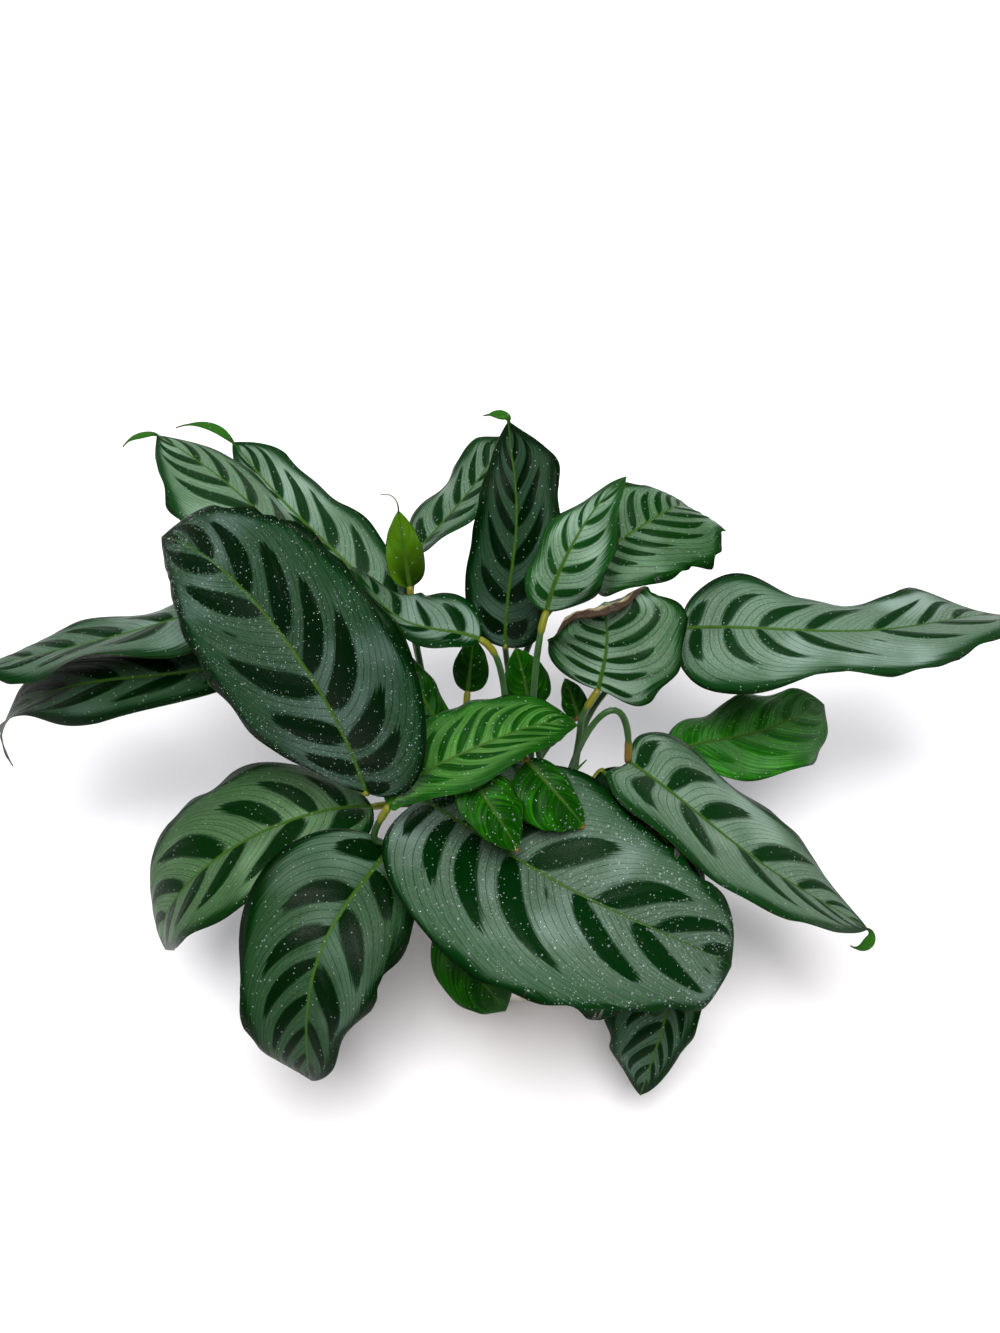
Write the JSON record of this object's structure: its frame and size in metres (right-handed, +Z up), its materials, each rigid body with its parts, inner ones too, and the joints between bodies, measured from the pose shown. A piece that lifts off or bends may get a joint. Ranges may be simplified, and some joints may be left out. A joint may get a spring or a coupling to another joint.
{
  "type": "potted peacock plant",
  "caption": "Peacock plant with broad patterned leaves on arching stalks, growing from soil in a plain round tapered pot.",
  "frame": {"origin": "centre of the pot's foot, on the surface that it stands on", "axes": "+Z up along the pot's axis; -Y towards the plant's front, which the picture looks at; +X to the viewer's right"},
  "size_m": [0.5865, 0.3744, 0.3143],
  "materials": {
    "leaf_blade": "glossy silver-green leaf with dark green ovals",
    "leaf_stalk": "olive green, satin",
    "sheath": "dry brown, matte",
    "soil": "moist dark potting soil, matte",
    "pot": "off-white satin glaze"
  },
  "bodies": {
    "root": {"pot": "pot", "soil": "soil", "young_leaf_sheath": "sheath", "leaf_01_blade": "leaf_blade", "leaf_01_stalk": "leaf_stalk", "leaf_02_blade": "leaf_blade", "leaf_02_stalk": "leaf_stalk", "leaf_03_blade": "leaf_blade", "leaf_03_stalk": "leaf_stalk", "leaf_04_blade": "leaf_blade", "leaf_04_stalk": "leaf_stalk", "leaf_05_blade": "leaf_blade", "leaf_05_stalk": "leaf_stalk", "leaf_06_blade": "leaf_blade", "leaf_06_stalk": "leaf_stalk", "leaf_07_blade": "leaf_blade", "leaf_07_stalk": "leaf_stalk", "leaf_08_blade": "leaf_blade", "leaf_08_stalk": "leaf_stalk", "leaf_09_blade": "leaf_blade", "leaf_09_stalk": "leaf_stalk", "leaf_10_blade": "leaf_blade", "leaf_10_stalk": "leaf_stalk", "leaf_11_blade": "leaf_blade", "leaf_11_stalk": "leaf_stalk", "leaf_12_blade": "leaf_blade", "leaf_12_stalk": "leaf_stalk", "leaf_13_blade": "leaf_blade", "leaf_13_stalk": "leaf_stalk", "leaf_14_blade": "leaf_blade", "leaf_14_stalk": "leaf_stalk", "leaf_15_blade": "leaf_blade", "leaf_15_stalk": "leaf_stalk", "leaf_16_blade": "leaf_blade", "leaf_16_stalk": "leaf_stalk", "leaf_17_blade": "leaf_blade", "leaf_17_stalk": "leaf_stalk", "leaf_18_blade": "leaf_blade", "leaf_18_stalk": "leaf_stalk", "leaf_19_blade": "leaf_blade", "leaf_19_stalk": "leaf_stalk", "leaf_20_blade": "leaf_blade", "leaf_20_stalk": "leaf_stalk", "leaf_21_blade": "leaf_blade", "leaf_21_stalk": "leaf_stalk", "leaf_22_blade": "leaf_blade", "leaf_22_stalk": "leaf_stalk", "leaf_23_blade": "leaf_blade", "leaf_23_stalk": "leaf_stalk", "leaf_24_blade": "leaf_blade", "leaf_24_stalk": "leaf_stalk", "leaf_25_blade": "leaf_blade", "leaf_25_stalk": "leaf_stalk", "leaf_26_blade": "leaf_blade", "leaf_26_stalk": "leaf_stalk", "leaf_27_blade": "leaf_blade", "leaf_27_stalk": "leaf_stalk", "leaf_28_blade": "leaf_blade", "leaf_28_stalk": "leaf_stalk"}
  },
  "joints": []
}
